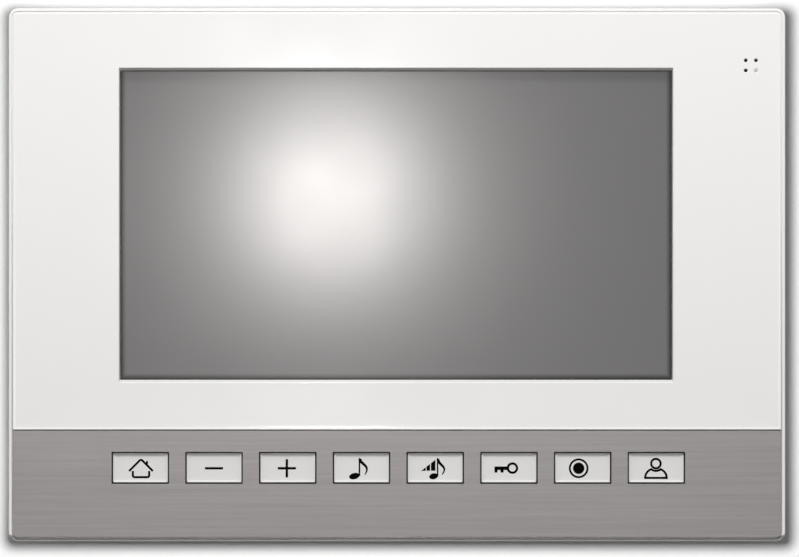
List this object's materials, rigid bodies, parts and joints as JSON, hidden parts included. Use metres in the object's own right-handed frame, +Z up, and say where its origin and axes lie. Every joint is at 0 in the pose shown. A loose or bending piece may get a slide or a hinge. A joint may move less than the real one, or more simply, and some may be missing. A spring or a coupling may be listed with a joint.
{
  "type": "video intercom monitor",
  "caption": "Wall-hung video intercom monitor: a wide display in a white fascia above a brushed aluminium strip of icon push buttons, hooked onto a steel bracket.",
  "frame": {"origin": "middle of the wall bracket's back face, on the wall", "axes": "+X to the user's right, +Y into the wall, +Z up; the display looks along -Y"},
  "size_m": [0.218, 0.024, 0.1496],
  "materials": {
    "gloss_white_frame": "glossy moulded white ABS",
    "white_acrylic": "polished white acrylic sheet",
    "brushed_aluminium": "fine brushing along X, clear anodised",
    "button_white": "satin moulded plastic with black printed icons",
    "matte_white_cover": "finely grained moulded white ABS",
    "display_glass": "anti-glare polarizer film on glass, screen off",
    "white_guide": "white reflector tray",
    "tinned_steel": "plain tinned sheet",
    "zinc_steel": "zinc plated steel",
    "black_steel": "black passivated steel",
    "black_paper": "pressed paper cone",
    "green_board": "glass epoxy board with green solder mask",
    "green_plastic": "moulded nylon terminal block",
    "black_plastic": "moulded black plastic",
    "black_foam": "closed-cell foam tape",
    "grey_rubber": "silicone rubber",
    "clear_plastic": "clear acrylic light pipe, unlit",
    "white_ribbon": "flat flexible cable"
  },
  "bodies": {
    "wall_bracket": {"wall_bracket": "zinc_steel"},
    "monitor": {"front_frame": "gloss_white_frame", "fascia_panel": "white_acrylic", "control_strip": "brushed_aluminium", "display_gasket": "black_foam", "display_bezel": "tinned_steel", "display_cell": "display_glass", "display_backlight": "white_guide", "display_clamp_left": "zinc_steel", "display_clamp_right": "zinc_steel", "clamp_screw_left": "zinc_steel", "clamp_screw_right": "zinc_steel", "display_ribbon": "white_ribbon", "key_board": "green_board", "key_ribbon": "white_ribbon", "main_board": "green_board", "processor_chip": "black_plastic", "board_screw_1": "zinc_steel", "board_screw_2": "zinc_steel", "board_screw_3": "zinc_steel", "board_screw_4": "zinc_steel", "door_station_terminal": "green_plastic", "extension_terminal": "green_plastic", "power_terminal": "green_plastic", "sensor_board": "green_board", "microphone_boot": "grey_rubber", "microphone_capsule": "tinned_steel", "status_light_pipe": "clear_plastic", "speaker_basket": "black_steel", "speaker_cone": "black_paper", "speaker_magnet": "black_steel", "rear_cover": "matte_white_cover", "cover_screw_1": "zinc_steel", "cover_screw_2": "zinc_steel", "cover_screw_3": "zinc_steel", "cover_screw_4": "zinc_steel", "switch_home": "black_plastic", "switch_minus": "black_plastic", "switch_plus": "black_plastic", "switch_melody": "black_plastic", "switch_ring_volume": "black_plastic", "switch_unlock": "black_plastic", "switch_record": "black_plastic", "switch_talk": "black_plastic"},
    "button_home": {"cap_home": "button_white", "plunger_home": "black_plastic"},
    "button_minus": {"cap_minus": "button_white", "plunger_minus": "black_plastic"},
    "button_plus": {"cap_plus": "button_white", "plunger_plus": "black_plastic"},
    "button_melody": {"cap_melody": "button_white", "plunger_melody": "black_plastic"},
    "button_ring_volume": {"cap_ring_volume": "button_white", "plunger_ring_volume": "black_plastic"},
    "button_unlock": {"cap_unlock": "button_white", "plunger_unlock": "black_plastic"},
    "button_record": {"cap_record": "button_white", "plunger_record": "black_plastic"},
    "button_talk": {"cap_talk": "button_white", "plunger_talk": "black_plastic"}
  },
  "joints": [
    {"name": "monitor_lift", "type": "slide", "parent": "wall_bracket", "child": "monitor", "axis": [0, 0, 1], "range_m": [0, 0.007]},
    {"name": "press_home", "type": "slide", "parent": "monitor", "child": "button_home", "axis": [0, 1, 0], "range_m": [0, 0.0004], "stiffness_N_per_m": 3000, "springref_m": -0.0001},
    {"name": "press_minus", "type": "slide", "parent": "monitor", "child": "button_minus", "axis": [0, 1, 0], "range_m": [0, 0.0004], "stiffness_N_per_m": 3000, "springref_m": -0.0001},
    {"name": "press_plus", "type": "slide", "parent": "monitor", "child": "button_plus", "axis": [0, 1, 0], "range_m": [0, 0.0004], "stiffness_N_per_m": 3000, "springref_m": -0.0001},
    {"name": "press_melody", "type": "slide", "parent": "monitor", "child": "button_melody", "axis": [0, 1, 0], "range_m": [0, 0.0004], "stiffness_N_per_m": 3000, "springref_m": -0.0001},
    {"name": "press_ring_volume", "type": "slide", "parent": "monitor", "child": "button_ring_volume", "axis": [0, 1, 0], "range_m": [0, 0.0004], "stiffness_N_per_m": 3000, "springref_m": -0.0001},
    {"name": "press_unlock", "type": "slide", "parent": "monitor", "child": "button_unlock", "axis": [0, 1, 0], "range_m": [0, 0.0004], "stiffness_N_per_m": 3000, "springref_m": -0.0001},
    {"name": "press_record", "type": "slide", "parent": "monitor", "child": "button_record", "axis": [0, 1, 0], "range_m": [0, 0.0004], "stiffness_N_per_m": 3000, "springref_m": -0.0001},
    {"name": "press_talk", "type": "slide", "parent": "monitor", "child": "button_talk", "axis": [0, 1, 0], "range_m": [0, 0.0004], "stiffness_N_per_m": 3000, "springref_m": -0.0001}
  ]
}
